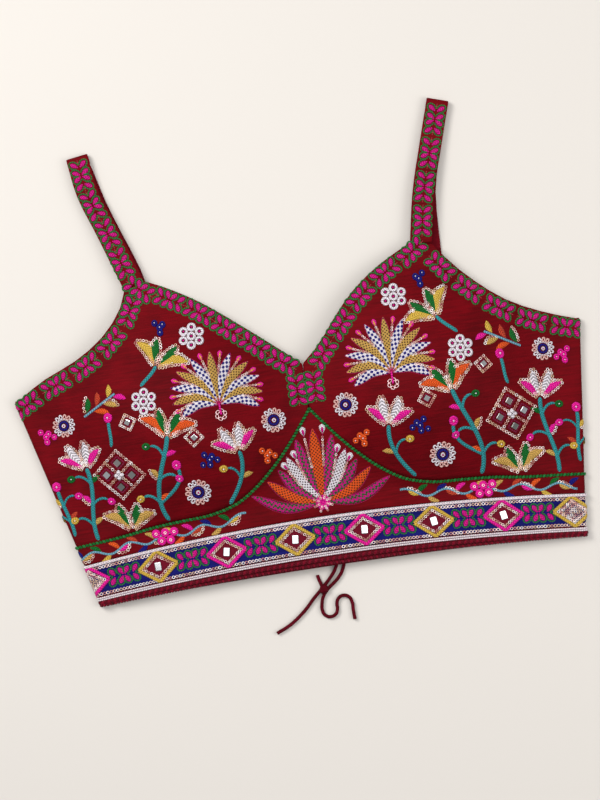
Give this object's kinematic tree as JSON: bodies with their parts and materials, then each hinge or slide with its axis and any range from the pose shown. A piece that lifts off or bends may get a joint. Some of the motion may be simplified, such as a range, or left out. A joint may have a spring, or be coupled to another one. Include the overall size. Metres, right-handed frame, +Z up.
{
  "type": "choli blouse",
  "caption": "Sleeveless strappy choli blouse with padded cups, a V neck and an embroidered waistband, lying face up on a flat surface with its back strings tied.",
  "frame": {"origin": "centre of the box's bottom face, on the surface that the blouse lies on, its back strings left out", "axes": "+X across the blouse to the right as seen from above, +Y from the hem towards the straps, +Z up off the surface"},
  "size_m": [0.4564, 0.4061, 0.0478],
  "materials": {
    "crimson_cloth": "crimson raw silk under dense hand embroidery",
    "band_cloth": "navy band under sequins and thread",
    "hem_cord_cloth": "dark red corded piping",
    "plain_cloth": "plain crimson cloth",
    "dori_cloth": "plain crimson cloth tube"
  },
  "bodies": {
    "root": {"cup_left": "crimson_cloth", "cup_right": "crimson_cloth", "midriff": "crimson_cloth", "waistband": "band_cloth", "hem_cord": "hem_cord_cloth", "strap_front_left": "crimson_cloth", "strap_front_right": "crimson_cloth", "strap_back_left": "plain_cloth", "strap_back_right": "plain_cloth", "back_left": "plain_cloth", "back_right": "plain_cloth", "dori_string_left": "dori_cloth", "dori_string_right": "dori_cloth", "dori_knot": "dori_cloth", "dori_end_long": "dori_cloth", "dori_end_curled": "dori_cloth", "dori_end_short": "dori_cloth"}
  },
  "joints": []
}
